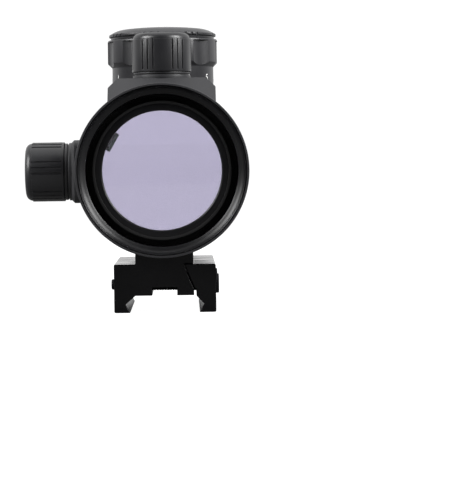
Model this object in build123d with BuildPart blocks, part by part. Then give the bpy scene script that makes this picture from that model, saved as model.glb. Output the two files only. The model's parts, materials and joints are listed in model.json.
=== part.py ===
from build123d import *
import os
from math import cos, pi, radians, sin, sqrt

# Tube-type red dot finder, millimetres.
# The origin is on the optical axis, in the plane of the eyepiece rim.
# +Y looks through the sight to the target, +Z is up, +X is on the right of the eye.

# ---- Driving dimensions -------------------------------------------------------------------------
tube_length = 124.0
rim_r = 23.5              # both bells
tube_r = 21.6             # the middle of the tube
bore_r = 20.0
rear_bell_end = 18.5
front_bell_start = 101.0

saddle_half_width = 15.1
saddle_top = 25.0
saddle_start = 20.0
saddle_end = 91.5
saddle_foot = 17.5        # height where its two sloped ends begin
saddle_chamfer = 2.7
boss_size = 17.8
boss_face = 25.7          # distance of the windage boss's face from the axis

turret_y = 36.5
cap_bottom = 27.9
cap_grip_top = 37.1
cap_top = 39.0
cap_r = 8.4
stub_r = 6.9              # threaded stub under each cap
run = 0.08                # radial running clearance
plunger_tip = 18.02

dial_y = 68.0
knob_r = 16.4
knob_neck_r = 15.1
knob_bottom = 25.35
knob_neck_top = 30.65
knob_grip_bottom = 31.9
knob_top = 38.9
knob_lobes = 9
battery_r = 10.0
battery_thickness = 3.2
cell_cap_r = 15.95

pivot_y = 110.0           # centre of the ball zone of the objective cell
ball_r = 20.9
led_angle = 150.0         # seen from the eye, counter-clockwise from +X
led_width = 5.0

base_start = 30.0
base_end = 84.0
jaw_end = 90.0
stem_half_width = 8.2
block_half_width = 14.3
wing_top = -26.4
seat_z = -35.3            # the feet that rest on the rail
jaw_bottom = -40.1
vee_apex = (11.05, -37.7)
lip_x = 9.75
foot_x = 8.3
channel_half_width = 3.5
channel_roof = -33.0      # above the screws' lower edges, so that their threads show under it
screw_z = -32.6
screw_r = 2.0
screw_ys = (42.0, 74.0)
base_screw_ys = (38.0, 57.0, 76.0)

# ---- Planes whose local Z is the axis of a turned piece -----------------------------------------
optics = Plane(origin=(0, 0, 0), x_dir=(1, 0, 0), z_dir=(0, 1, 0))
windage = Plane(origin=(0, turret_y, 0), x_dir=(0, 0, 1), z_dir=(-1, 0, 0))


def upright_at(y):
    return Plane(origin=(0, y, 0), x_dir=(1, 0, 0), z_dir=(0, 0, 1))


elevation = upright_at(turret_y)
dial = upright_at(dial_y)

os.makedirs("parts", exist_ok=True)


def save(part, name):
    """Labels a finished piece and writes it to its own file."""
    part.label = name
    export_step(part, f"parts/{name}.step")


def half_plane(axis_plane):
    """Plane whose x is a radius of the axis plane and whose y is its axis."""
    return Plane(origin=axis_plane.origin, x_dir=axis_plane.x_dir, z_dir=-axis_plane.y_dir)


def axis_of(axis_plane):
    return Axis(axis_plane.origin, axis_plane.z_dir)


def turn(axis_plane, outline, mode=Mode.ADD):
    """Turns a closed outline of (radius, height) points about the plane's Z, in the open part."""
    with BuildSketch(half_plane(axis_plane)) as profile:
        with BuildLine():
            Polyline(*outline, close=True)
        make_face()
    revolve(profile.sketch, axis=axis_of(axis_plane), mode=mode)


def turned(axis_plane, outline):
    with BuildPart() as piece:
        turn(axis_plane, outline)
    return piece.part


def ring(axis_plane, inner, outer, bottom, top):
    return turned(axis_plane, [(inner, bottom), (outer, bottom), (outer, top), (inner, top)])


def disc(axis_plane, radius, bottom, top):
    return turned(axis_plane, [(0, bottom), (radius, bottom), (radius, top), (0, top)])


def drill(axis_plane, radius, bottom, top):
    """Takes a round hole out of the open part."""
    turn(axis_plane, [(0, bottom), (radius, bottom), (radius, top), (0, top)], mode=Mode.SUBTRACT)


def o_ring(axis_plane, mean_r, height, section_r):
    with BuildPart() as piece:
        with BuildSketch(half_plane(axis_plane)):
            with Locations((mean_r, height)):
                Circle(section_r)
        revolve(axis=axis_of(axis_plane))
    return piece.part


def sphere_sag(radius, height):
    """Radius of a sphere at a height above its centre."""
    return sqrt(radius**2 - height**2)


def radial(axis_plane, angle, radius, height=0.0):
    """Plane across the axis, its origin at a radius and an angle, its z along the axis."""
    local = Vector(radius * cos(radians(angle)), radius * sin(radians(angle)), height)
    here = axis_plane.from_local_coords(local)
    return Plane(origin=here, x_dir=axis_plane.x_dir, z_dir=axis_plane.z_dir)


# ---- Main tube ----------------------------------------------------------------------------------
bezel_r = 22.9
recess_r = 20.6
bezel_depth = 6.0
recess_depth = 11.0
edge = 0.25
front_bezel_r = 22.4
front_bezel_start = 117.0
pivot_bore_r = ball_r + 0.76
pivot_shoulder = 106.8
plug_r = 6.5
base_screw_r = 1.5
base_screw_head_r = 2.8
base_screw_top = -20.1
base_screw_cone = 1.3
base_screw_tip = -29.0
dial_screw_angles = (30, 150, 270)
dial_screw_circle = 5.5
dial_screw_r = 1.0
dial_screw_head_r = 1.9
dial_screw_tip = 22.0
dial_screw_neck = 26.2
dial_screw_top = 27.3
index_r = 0.6
index_bottom = 24.5
index_spot = radial(dial, -90, knob_neck_r + 1.7)


def base_screw_outline():
    """Countersunk screw that hangs down from the bore into the stem."""
    return [
        (0, base_screw_top),
        (base_screw_head_r, base_screw_top),
        (base_screw_r, base_screw_top - base_screw_cone),
        (base_screw_r, base_screw_tip),
        (0, base_screw_tip),
    ]


with BuildPart() as main_tube:
    with BuildSketch(Plane.XZ.offset(-saddle_end)):
        with BuildLine():
            Polyline(
                (-saddle_half_width, 0),
                (saddle_half_width, 0),
                (saddle_half_width, saddle_top - saddle_chamfer),
                (saddle_half_width - saddle_chamfer, saddle_top),
                (-saddle_half_width + saddle_chamfer, saddle_top),
                (-saddle_half_width, saddle_top - saddle_chamfer),
                close=True,
            )
        make_face()
    extrude(amount=saddle_end - saddle_start)
    for end, way in ((saddle_start, 1), (saddle_end, -1)):
        with BuildSketch(Plane.YZ) as slope:
            with BuildLine():
                Polyline(
                    (end - way, saddle_foot - 1),
                    (end + way * (saddle_top - saddle_foot + 1), saddle_top + 1),
                    (end - way, saddle_top + 1),
                    close=True,
                )
            make_face()
        extrude(slope.sketch, amount=saddle_half_width + 1, both=True, mode=Mode.SUBTRACT)
    turn(
        optics,
        [
            (bore_r - 4, 8),
            (rim_r - edge - 2, 8),
            (rim_r - edge - 2, 0),
            (rim_r - edge, 0),
            (rim_r, edge),
            (rim_r, rear_bell_end),
            (tube_r, rear_bell_end + 2.5),
            (tube_r, front_bell_start - 4),
            (rim_r, front_bell_start),
            (rim_r, tube_length - edge),
            (rim_r - edge, tube_length),
            (bore_r - 4, tube_length),
        ],
    )
    with BuildSketch(Plane(origin=(-boss_face, turret_y, 0), x_dir=(0, -1, 0), z_dir=(-1, 0, 0))):
        RectangleRounded(boss_size, boss_size, 3.0)
    extrude(amount=-boss_face)
    boss_rim = main_tube.faces().sort_by(Axis.X)[0].edges()
    chamfer(boss_rim, length=0.8)
    turn(
        optics,
        [
            (0, -1),
            (bezel_r, -1),
            (bezel_r, bezel_depth),
            (recess_r, bezel_depth),
            (recess_r, recess_depth),
            (bore_r, recess_depth),
            (bore_r, 94),
            (pivot_bore_r - 0.45, 100),
            (pivot_bore_r - 0.45, pivot_shoulder),
            (pivot_bore_r, pivot_shoulder),
            (pivot_bore_r, front_bezel_start),
            (front_bezel_r, front_bezel_start),
            (front_bezel_r, tube_length + 1),
            (0, tube_length + 1),
        ],
        mode=Mode.SUBTRACT,
    )
    for turret_axis in (elevation, windage):
        drill(turret_axis, plug_r, 15, 30)
    for y in base_screw_ys:
        hole_outline = [(0, -15), (base_screw_head_r, -15)] + base_screw_outline()[1:]
        turn(upright_at(y), hole_outline, mode=Mode.SUBTRACT)
    for angle in dial_screw_angles:
        drill(radial(dial, angle, dial_screw_circle), dial_screw_r, dial_screw_tip, 30)
    drill(index_spot, index_r, index_bottom, 30)
save(main_tube.part, "main_tube")
save(disc(index_spot, index_r, index_bottom, saddle_top), "index_dot")

# ---- Eyepiece -----------------------------------------------------------------------------------
nose_r = 18.8
nose_start = 3.2
cell_flange_start = 8.0
eye_glass_r = 18.0
eye_aperture_r = 16.15
eye_glass_start = 5.4
eye_glass_end = 7.4
gasket_end = 7.9

with BuildPart() as eyepiece_bezel:
    with BuildSketch(half_plane(optics)):
        with BuildLine():
            Polyline(
                (bezel_r - edge, 0.35),
                (bezel_r, 0.75),
                (bezel_r, bezel_depth),
                (recess_r, bezel_depth),
                (recess_r, 2.1),
            )
            ThreePointArc((recess_r, 2.1), (21.75, 1.5), (bezel_r - edge, 0.35))
        make_face()
    revolve(axis=axis_of(optics))
save(eyepiece_bezel.part, "eyepiece_bezel")

eyepiece_cell = turned(
    optics,
    [
        (eye_glass_r, nose_start),
        (nose_r - 0.15, nose_start),
        (nose_r, nose_start + 0.15),
        (nose_r, cell_flange_start),
        (recess_r, cell_flange_start),
        (recess_r, recess_depth),
        (17.0, recess_depth),
        (17.0, gasket_end),
        (eye_glass_r, gasket_end),
    ],
)
save(eyepiece_cell, "eyepiece_cell")

eye_retainer = turned(
    optics,
    [
        (eye_aperture_r, nose_start + 0.5),
        (eye_aperture_r + 0.3, nose_start + 0.2),
        (eye_glass_r - 0.15, nose_start + 0.2),
        (eye_glass_r, nose_start + 0.35),
        (eye_glass_r, eye_glass_start),
        (eye_aperture_r, eye_glass_start),
    ],
)
save(eye_retainer, "eye_retainer")
save(disc(optics, eye_glass_r, eye_glass_start, eye_glass_end), "eye_lens")
save(ring(optics, 17.0, eye_glass_r, eye_glass_end, gasket_end), "eye_gasket")

# ---- Front of the tube --------------------------------------------------------------------------
front_bezel = turned(
    optics,
    [
        (20.0, front_bezel_start),
        (front_bezel_r, front_bezel_start),
        (front_bezel_r, tube_length - 0.3),
        (front_bezel_r - 0.3, tube_length),
        (20.0, tube_length - 2.2),
    ],
)
save(front_bezel, "front_bezel")
save(o_ring(optics, 21.1, front_bezel_start - 0.55, 0.5), "front_oring")
save(ring(optics, 21.1, pivot_bore_r, 113.3, 114.8), "pivot_retainer")

# ---- Inner tube with its ball zone, the collimating doublet and the emitter ------------------------
tube_wall = 0.5
inner_start = 16.0
inner_end = 104.0
inner_rear_r = 16.8       # the cone opens to the front so that the eye sees little of its wall
inner_front_r = 19.25
glass_r = 19.9
glass_aperture_r = 19.35
glass_curve = 200.0       # the coated face is a mirror that throws the dot back to the eye
glass_back = 107.0
rear_glass_thickness = 2.5
front_glass_thickness = 3.0
cell_half = 5.0

led_dir = (cos(radians(led_angle)), 0, sin(radians(led_angle)))
led_plane = Plane(origin=(0, 0, 0), x_dir=(0, 1, 0), z_dir=led_dir)   # local x is +Y
led_start = 20.0
led_end = 28.0
housing_inner_r = 14.9
housing_outer_r = 17.8    # clear of the bore at the corner of the tilt range
board_inner_r = 14.1
flex_width = 3.0
flex_end = 38.0
flex_thickness = 0.15


def led_block(width, inner_r, outer_r, start, end, mode=Mode.ADD):
    """Block on the emitter's radius, from start to end along the tube."""
    with BuildSketch(led_plane.offset(inner_r)) as footprint:
        with Locations(((start + end) / 2, 0)):
            Rectangle(end - start, width)
    extrude(footprint.sketch, amount=outer_r - inner_r, mode=mode)


with BuildPart() as inner_tube:
    turn(
        optics,
        [
            (inner_rear_r, inner_start),
            (inner_rear_r + tube_wall, inner_start),
            (inner_front_r + tube_wall, inner_end),
            (inner_front_r, inner_end),
        ],
    )
    led_block(led_width, 10, 19, led_start, led_end, mode=Mode.SUBTRACT)
    led_block(flex_width + 0.2, housing_outer_r - 0.05, 19, led_start, flex_end + 0.5, mode=Mode.SUBTRACT)
save(inner_tube.part, "inner_tube")

with BuildPart() as objective_cell:
    with BuildSketch(half_plane(optics)):
        with BuildLine():
            end_r = sphere_sag(ball_r, cell_half)
            Polyline(
                (end_r, pivot_y + cell_half),
                (glass_r, pivot_y + cell_half),
                (glass_r, inner_end + 1.9),
                (inner_front_r, inner_end + 1.9),
                (inner_front_r, inner_end),
                (inner_front_r + tube_wall, inner_end),
                (end_r, pivot_y - cell_half),
            )
            ThreePointArc((end_r, pivot_y - cell_half), (ball_r, pivot_y), (end_r, pivot_y + cell_half))
        make_face()
    revolve(axis=axis_of(optics))
save(objective_cell.part, "objective_cell")


def meniscus(back, thickness):
    """Element whose two faces bulge to the front with the same curve."""
    sag = glass_curve - sphere_sag(glass_curve, glass_r)
    half_sag = glass_curve - sphere_sag(glass_curve, glass_r / 2)
    with BuildPart() as element:
        with BuildSketch(half_plane(optics)):
            with BuildLine():
                ThreePointArc((0, back), (glass_r / 2, back - half_sag), (glass_r, back - sag))
                Line((glass_r, back - sag), (glass_r, back - sag + thickness))
                ThreePointArc(
                    (glass_r, back - sag + thickness),
                    (glass_r / 2, back - half_sag + thickness),
                    (0, back + thickness),
                )
                Line((0, back + thickness), (0, back))
            make_face()
        revolve(axis=axis_of(optics))
    return element.part


save(meniscus(glass_back, rear_glass_thickness), "objective_lens_rear")
save(meniscus(glass_back + rear_glass_thickness, front_glass_thickness), "objective_lens_front")
glass_edge = glass_back + rear_glass_thickness + front_glass_thickness - glass_curve
glass_edge = glass_edge + sphere_sag(glass_curve, glass_aperture_r)
save(
    turned(
        optics,
        [
            (glass_aperture_r, glass_edge + 0.05),
            (glass_r, glass_edge + 0.05),
            (glass_r, glass_edge + 2.0),
            (glass_aperture_r + 0.2, glass_edge + 2.0),
            (glass_aperture_r, glass_edge + 1.8),
        ],
    ),
    "objective_retainer",
)

ring_half = 2.6           # leaves the ring room to swing between its shoulder and its retainer
with BuildPart() as pivot_ring:
    with BuildSketch(half_plane(optics)):
        with BuildLine():
            inside = ball_r + 0.06
            outside = pivot_bore_r - 0.06
            inner_edge = sphere_sag(inside, ring_half)
            outer_edge = sphere_sag(outside, ring_half)
            back = pivot_y - ring_half
            front = pivot_y + ring_half
            Line((inner_edge, back), (outer_edge, back))
            ThreePointArc((outer_edge, back), (outside, pivot_y), (outer_edge, front))
            Line((outer_edge, front), (inner_edge, front))
            ThreePointArc((inner_edge, front), (inside, pivot_y), (inner_edge, back))
        make_face()
    revolve(axis=axis_of(optics))
save(pivot_ring.part, "pivot_ring")

with BuildPart() as led_housing:
    led_block(led_width, housing_inner_r, housing_outer_r, led_start, led_end)
save(led_housing.part, "led_housing")

with BuildPart() as led_board:
    led_block(led_width, board_inner_r, housing_inner_r, led_start, led_end + 1.5)
save(led_board.part, "led_board")

with BuildPart() as led_emitter:
    led_block(1.6, housing_inner_r, housing_inner_r + 1.3, led_end, led_end + 1.4)
save(led_emitter.part, "led_emitter")

with BuildPart() as led_flex:
    led_block(flex_width, housing_outer_r, housing_outer_r + flex_thickness, led_start + 1, flex_end)
save(led_flex.part, "led_flex")

# Bowed leaf between the two tubes, opposite the two adjusters.
leaf_plane = Plane(origin=(0, 0, 0), x_dir=(0, 1, 0), z_dir=(sin(pi / 4), 0, -cos(pi / 4)))
with BuildPart() as bias_spring:
    with BuildSketch(Plane(origin=(0, 0, 0), x_dir=(0, 1, 0), z_dir=leaf_plane.y_dir)):
        with BuildLine():
            low = bore_r - 0.35
            high = 18.3
            ThreePointArc((28, -low), (46, -high), (64, -low))
            Line((64, -low), (64, -low - 0.25))
            ThreePointArc((64, -low - 0.25), (46, -high - 0.25), (28, -low - 0.25))
            Line((28, -low - 0.25), (28, -low))
        make_face()
    extrude(amount=2.0, both=True)
save(bias_spring.part, "bias_spring")

# ---- Elevation and windage turrets -----------------------------------------------------------------
guide_r = 2.5
thread_r = 1.25
collar_r = 1.75
disc_r = 4.9
disc_bottom = 30.7
disc_top = 33.0
stub_top = 34.3
mouth_r = 5.9
rib_groups = 6
groove_pitch = 11.3
groove_r = 0.32


def grouped_angles(groups, pitch, first):
    """Three angles a pitch apart in each of the evenly spaced groups."""
    return [first + 360 / groups * g + pitch * k for g in range(groups) for k in (-1, 0, 1)]


def turret(name, axis_plane, seat, first_group):
    """Base, adjuster, its retaining ring, plunger, O-ring and cap about one turret axis."""
    flange_top = cap_bottom - 0.1
    flange_r = 8.05
    with BuildPart() as base:
        turn(
            axis_plane,
            [
                (guide_r + run, 20.5),
                (plug_r, 20.5),
                (plug_r, seat),
                (flange_r + 0.15, seat),
                (flange_r + 0.15, seat + 0.9),
                (flange_r - 0.3, seat + 1.05),
                (flange_r - 0.3, seat + 1.2),
                (flange_r, seat + 1.35),
                (flange_r, flange_top),
                (stub_r, flange_top),
                (stub_r, stub_top),
                (mouth_r, stub_top),
                (mouth_r, disc_top + 0.1),
                (disc_r + run, disc_top + 0.1),
                (disc_r + run, disc_bottom - 0.05),
                (collar_r + run, disc_bottom - 0.05),
                (collar_r + run, 28.6),
                (guide_r + run, 28.6),
            ],
        )
    save(base.part, f"{name}_turret_base")

    with BuildPart() as adjuster:
        turn(
            axis_plane,
            [
                (0, 21.5),
                (thread_r, 21.5),
                (thread_r, 28.7),
                (collar_r, 28.7),
                (collar_r, disc_bottom),
                (disc_r, disc_bottom),
                (disc_r, disc_top - 0.3),
                (disc_r - 0.3, disc_top),
                (0, disc_top),
            ],
        )
        with BuildSketch(axis_plane.offset(disc_top)):
            Rectangle(2 * disc_r + 1, 1.2)
        extrude(amount=-1.1, mode=Mode.SUBTRACT)
    save(adjuster.part, f"{name}_adjuster")
    save(ring(axis_plane, 3.9, mouth_r, disc_top + 0.1, stub_top), f"{name}_adjuster_retainer")

    with BuildPart() as plunger:
        with BuildSketch(half_plane(axis_plane)):
            with BuildLine():
                Polyline(
                    (1.2, plunger_tip + 0.12),
                    (guide_r, plunger_tip + 0.9),
                    (guide_r, 25.8),
                    (thread_r + run, 25.8),
                    (thread_r + run, 19.9),
                    (0, 19.9),
                    (0, plunger_tip),
                )
                ThreePointArc((0, plunger_tip), (0.62, plunger_tip + 0.03), (1.2, plunger_tip + 0.12))
            make_face()
        revolve(axis=axis_of(axis_plane))
    save(plunger.part, f"{name}_plunger")
    save(o_ring(axis_plane, 7.35, cap_bottom + 0.45, 0.3), f"{name}_cap_oring")

    with BuildPart() as cap:
        with BuildSketch(half_plane(axis_plane)):
            with BuildLine():
                shoulder_r = cap_r - 0.25
                rounding = cap_top - cap_grip_top
                middle = rounding * (1 - cos(pi / 4))
                Polyline(
                    (shoulder_r, cap_grip_top),
                    (cap_r, cap_grip_top),
                    (cap_r, cap_bottom + 0.2),
                    (cap_r - 0.2, cap_bottom),
                    (7.7, cap_bottom),
                    (7.7, cap_bottom + 1.2),
                    (stub_r + run, cap_bottom + 1.2),
                    (stub_r + run, 35.8),
                    (0, 35.8),
                    (0, cap_top),
                    (shoulder_r - rounding, cap_top),
                )
                ThreePointArc(
                    (shoulder_r - rounding, cap_top),
                    (shoulder_r - middle, cap_top - middle),
                    (shoulder_r, cap_grip_top),
                )
            make_face()
        revolve(axis=axis_of(axis_plane))
        for angle in grouped_angles(rib_groups, groove_pitch, first_group):
            with BuildSketch(radial(axis_plane, angle, cap_r + 0.04, cap_bottom + 0.7)):
                Circle(groove_r)
            extrude(amount=cap_grip_top - cap_bottom, mode=Mode.SUBTRACT)
    save(cap.part, f"{name}_cap")


turret("elevation", elevation, saddle_top, -57.0)
turret("windage", windage, boss_face, -82.0)

# ---- Brightness dial and battery -------------------------------------------------------------------
hub_r = 12.0
hub_top = 27.6
clip_r = 12.9
clip_bottom = 26.2
clip_top = 26.9
board_top = hub_top + 1.0
cavity_top = 29.9
web_top = 31.6
contact_top = web_top + 0.25
compartment_r = battery_r + 0.3
thread_bottom = 35.8
cap_thread_r = 13.2
battery_bottom = 32.4
battery_top = battery_bottom + battery_thickness
ball_pos = 10.9           # radius of the detent ball's circle

dial_screw_outline = [
    (0, dial_screw_tip),
    (dial_screw_r, dial_screw_tip),
    (dial_screw_r, dial_screw_neck),
    (dial_screw_head_r, dial_screw_top),
    (0, dial_screw_top),
]
dial_screw_hole = dial_screw_outline[:-1] + [(dial_screw_head_r, 28), (0, 28)]
dial_screw_spots = [radial(dial, angle, dial_screw_circle) for angle in dial_screw_angles]
ball_spot = radial(dial, 90, ball_pos)

with BuildPart() as dial_base:
    turn(
        dial,
        [
            (0, saddle_top),
            (hub_r, saddle_top),
            (hub_r, clip_bottom),
            (hub_r - 0.4, clip_bottom),
            (hub_r - 0.4, clip_top),
            (hub_r, clip_top),
            (hub_r, hub_top),
            (0, hub_top),
        ],
    )
    for spot in dial_screw_spots:
        turn(spot, dial_screw_hole, mode=Mode.SUBTRACT)
    drill(ball_spot, 0.8, 25.6, 28)
save(dial_base.part, "dial_base")

with BuildPart() as dial_screws:
    for spot in dial_screw_spots:
        turn(spot, dial_screw_outline)
        with BuildSketch(spot.offset(dial_screw_top)):
            Rectangle(3.0, 0.5)
            Rectangle(0.5, 3.0)
        extrude(amount=-0.6, mode=Mode.SUBTRACT)
save(dial_screws.part, "dial_screws")

with BuildPart() as detent_spring:
    turn(ball_spot, [(0.3, 25.6), (0.7, 25.6), (0.7, 27.9), (0.3, 27.9)])
save(detent_spring.part, "detent_spring")

with BuildPart() as detent_ball:
    with BuildSketch(half_plane(ball_spot)):
        with Locations((0, 28.95)):
            Circle(0.8)
            with Locations((-1, 0)):
                Rectangle(2, 4, mode=Mode.SUBTRACT)
    revolve(axis=axis_of(ball_spot))
save(detent_ball.part, "detent_ball")

save(ring(dial, hub_r + 0.4, 14.6, saddle_top, knob_bottom - 0.1), "dial_gasket")
save(ring(dial, hub_r - 0.4, clip_r, clip_bottom, clip_top), "dial_clip")
save(ring(dial, 3.0, 9.8, hub_top, board_top), "switch_board")

with BuildPart() as brightness_knob:
    turn(
        dial,
        [
            (hub_r + run, knob_bottom),
            (knob_neck_r - 0.2, knob_bottom),
            (knob_neck_r, knob_bottom + 0.2),
            (knob_neck_r, knob_neck_top),
            (knob_r, knob_grip_bottom),
            (knob_r, knob_top - 0.6),
            (knob_r - 0.6, knob_top),
            (cap_thread_r, knob_top),
            (cap_thread_r, thread_bottom),
            (compartment_r, thread_bottom),
            (compartment_r, web_top),
            (1.2, web_top),
            (1.2, cavity_top),
            (hub_r + run, cavity_top),
            (hub_r + run, clip_top + 0.1),
            (clip_r + run, clip_top + 0.1),
            (clip_r + run, clip_bottom - 0.1),
            (hub_r + run, clip_bottom - 0.1),
        ],
    )
    scallop_r = 9.0
    scallop_depth = 1.0
    for lobe in range(knob_lobes):
        middle_angle = -90 + 46 + 360 / knob_lobes * lobe
        spot = radial(dial, middle_angle, knob_r - scallop_depth + scallop_r, knob_neck_top)
        with BuildSketch(spot):
            Circle(scallop_r)
        extrude(amount=knob_top - knob_neck_top - 0.6, mode=Mode.SUBTRACT)
save(brightness_knob.part, "brightness_knob")

save(disc(dial, 1.2, board_top + 0.15, web_top), "contact_pin")

with BuildPart() as battery_contact:
    turn(dial, [(0, web_top), (6.0, web_top), (6.0, contact_top), (0, contact_top)])
    for angle in (0, 120, 240):
        with BuildSketch(radial(dial, angle, 4.2, contact_top)):
            Circle(0.9)
        extrude(amount=battery_bottom - contact_top)
save(battery_contact.part, "battery_contact")

battery = turned(
    dial,
    [
        (0, battery_bottom),
        (battery_r - 1.0, battery_bottom),
        (battery_r - 1.0, battery_bottom + 0.3),
        (battery_r, battery_bottom + 0.5),
        (battery_r, battery_top - 0.2),
        (battery_r - 0.2, battery_top),
        (0, battery_top),
    ],
)
save(battery, "battery")

cell_cap_groove_top = 39.8
cell_cap_rim_top = 40.8
cell_cap_dome = 42.7
dome_edge = cell_cap_r - 0.6
dome_r = 105.0            # nearly flat, with a rounded shoulder
shoulder_start = 12.0
with BuildPart() as battery_cap:
    with BuildSketch(half_plane(dial)):
        with BuildLine():
            dome_centre = cell_cap_dome - dome_r
            shoulder_height = dome_centre + sphere_sag(dome_r, shoulder_start)
            middle_height = dome_centre + sphere_sag(dome_r, shoulder_start / 2)
            Polyline(
                (0, cell_cap_dome),
                (0, battery_top + 0.1),
                (cap_thread_r - run, battery_top + 0.3),
                (cap_thread_r - run, knob_top + 0.9),
                (14.55, knob_top + 0.9),
                (14.55, knob_top + 0.08),
                (cell_cap_r - 0.55, knob_top + 0.08),
                (cell_cap_r - 0.55, cell_cap_groove_top - 0.2),
                (cell_cap_r, cell_cap_groove_top),
                (cell_cap_r, cell_cap_rim_top - 0.35),
                (dome_edge, cell_cap_rim_top),
            )
            TangentArc(
                (shoulder_start, shoulder_height),
                (dome_edge, cell_cap_rim_top),
                tangent=(sphere_sag(dome_r, shoulder_start), -shoulder_start),
            )
            ThreePointArc(
                (shoulder_start, shoulder_height),
                (shoulder_start / 2, middle_height),
                (0, cell_cap_dome),
            )
        make_face()
    revolve(axis=axis_of(dial))
    for angle in grouped_angles(8, 7.3, -90 + 33.6):
        with BuildSketch(radial(dial, angle, cell_cap_r + 0.1, cell_cap_groove_top - 0.1)):
            Circle(0.42)
        extrude(amount=1.2, mode=Mode.SUBTRACT)
    with BuildSketch(dial.offset(cell_cap_dome + 0.2)):
        SlotOverall(15.0, 1.8)
    extrude(amount=-1.6, mode=Mode.SUBTRACT)
save(battery_cap.part, "battery_cap")
save(o_ring(dial, 13.85, knob_top + 0.42, 0.36), "battery_cap_oring")

# ---- Rail clamp --------------------------------------------------------------------------------------
slant_top_x = 5.3
slant_bottom_x = 8.1
slant_bottom_z = -33.2
jaw_gap = 0.3


def cross_screw_axis(y):
    """Plane whose z runs along +X through a clamp screw."""
    return Plane(origin=(0, y, screw_z), x_dir=(0, 1, 0), z_dir=(1, 0, 0))


with BuildPart() as mount_base:
    with BuildSketch(Plane.XZ.offset(-base_end)):
        with BuildLine():
            stem_top = -sphere_sag(tube_r, stem_half_width)
            ThreePointArc((-stem_half_width, stem_top), (0, -tube_r), (stem_half_width, stem_top))
            Polyline(
                (stem_half_width, stem_top),
                (stem_half_width, wing_top),
                (slant_top_x, wing_top),
                (slant_bottom_x, slant_bottom_z),
                (foot_x, slant_bottom_z - 0.3),
                (foot_x, seat_z),
                (channel_half_width, seat_z),
                (channel_half_width, channel_roof),
                (-channel_half_width, channel_roof),
                (-channel_half_width, seat_z),
                (-foot_x, seat_z),
                (-vee_apex[0], vee_apex[1]),
                (-lip_x, jaw_bottom),
                (-block_half_width + 0.4, jaw_bottom),
                (-block_half_width, jaw_bottom + 0.6),
                (-block_half_width, wing_top - 0.4),
                (-block_half_width + 0.4, wing_top),
                (-stem_half_width, wing_top),
                (-stem_half_width, stem_top),
            )
        make_face()
    extrude(amount=base_end - base_start)
    for y in screw_ys:
        drill(cross_screw_axis(y), screw_r + run, -20, 20)
    for y in base_screw_ys:
        turn(upright_at(y), base_screw_outline(), mode=Mode.SUBTRACT)
save(mount_base.part, "mount_base")

with BuildPart() as base_screws:
    for y in base_screw_ys:
        turn(upright_at(y), base_screw_outline())
        with BuildSketch(upright_at(y).offset(base_screw_top)):
            RegularPolygon(1.0, 6)
        extrude(amount=-0.9, mode=Mode.SUBTRACT)
save(base_screws.part, "base_screws")

jaw_face = block_half_width + 0.2
head_r = 2.8
head_start = 12.9
head_end = 15.5
with BuildPart() as clamp_jaw:
    with BuildSketch(Plane.XZ.offset(-jaw_end)):
        with BuildLine():
            Polyline(
                (slant_top_x + jaw_gap, wing_top - 0.1),
                (jaw_face - 0.5, wing_top - 0.1),
                (jaw_face, wing_top - 0.6),
                (jaw_face, jaw_bottom + 0.6),
                (jaw_face - 0.4, jaw_bottom),
                (lip_x, jaw_bottom),
                vee_apex,
                (foot_x + 0.65, -35.5),
                (foot_x + 0.65, slant_bottom_z - 0.35),
                (slant_bottom_x + jaw_gap, slant_bottom_z - 0.05),
                close=True,
            )
        make_face()
    extrude(amount=jaw_end - base_start)
    for y in screw_ys:
        drill(cross_screw_axis(y), screw_r + run, 0, 20)
        drill(cross_screw_axis(y), head_r + run, head_start - 0.02, 20)
save(clamp_jaw.part, "clamp_jaw")

for name, y in zip(("rear", "front"), screw_ys):
    axis_plane = cross_screw_axis(y)
    tip = -block_half_width - 1.1
    with BuildPart() as clamp_screw:
        turn(
            axis_plane,
            [
                (0, tip),
                (screw_r - 0.7, tip),
                (screw_r, tip + 0.7),
                (screw_r, head_start),
                (head_r, head_start),
                (head_r, head_end - 0.3),
                (head_r - 0.3, head_end),
                (0, head_end),
            ],
        )
        with BuildSketch(axis_plane.offset(head_end)):
            RegularPolygon(1.6, 6)
        extrude(amount=-1.7, mode=Mode.SUBTRACT)
    save(clamp_screw.part, f"clamp_screw_{name}")
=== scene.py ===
import json
from math import asin, cos, degrees, pi, radians, sin, sqrt, tan

import bmesh
import bpy
from mathutils import Matrix, Vector


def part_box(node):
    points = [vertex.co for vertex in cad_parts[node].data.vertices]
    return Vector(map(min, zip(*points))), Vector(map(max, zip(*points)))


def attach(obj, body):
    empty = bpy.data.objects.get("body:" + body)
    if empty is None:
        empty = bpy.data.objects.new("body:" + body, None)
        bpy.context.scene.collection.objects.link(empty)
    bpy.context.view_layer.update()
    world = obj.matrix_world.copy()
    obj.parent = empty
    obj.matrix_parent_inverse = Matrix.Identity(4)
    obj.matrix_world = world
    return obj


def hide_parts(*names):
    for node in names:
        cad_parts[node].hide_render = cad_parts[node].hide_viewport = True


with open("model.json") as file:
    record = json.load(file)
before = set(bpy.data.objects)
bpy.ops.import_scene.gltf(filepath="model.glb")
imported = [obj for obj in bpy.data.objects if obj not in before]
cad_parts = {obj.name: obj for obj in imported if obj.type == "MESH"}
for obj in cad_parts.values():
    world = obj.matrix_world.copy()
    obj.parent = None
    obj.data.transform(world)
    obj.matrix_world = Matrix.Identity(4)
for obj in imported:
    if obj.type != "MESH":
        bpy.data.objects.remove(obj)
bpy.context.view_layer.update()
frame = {"nodes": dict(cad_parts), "record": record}
nodes = frame["nodes"]

MM = 0.001

# ---- Sizes, in millimetres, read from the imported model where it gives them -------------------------


def span(node):
    """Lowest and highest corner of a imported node, in millimetres."""
    low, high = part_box(node)
    return Vector(low) / MM, Vector(high) / MM


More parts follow.
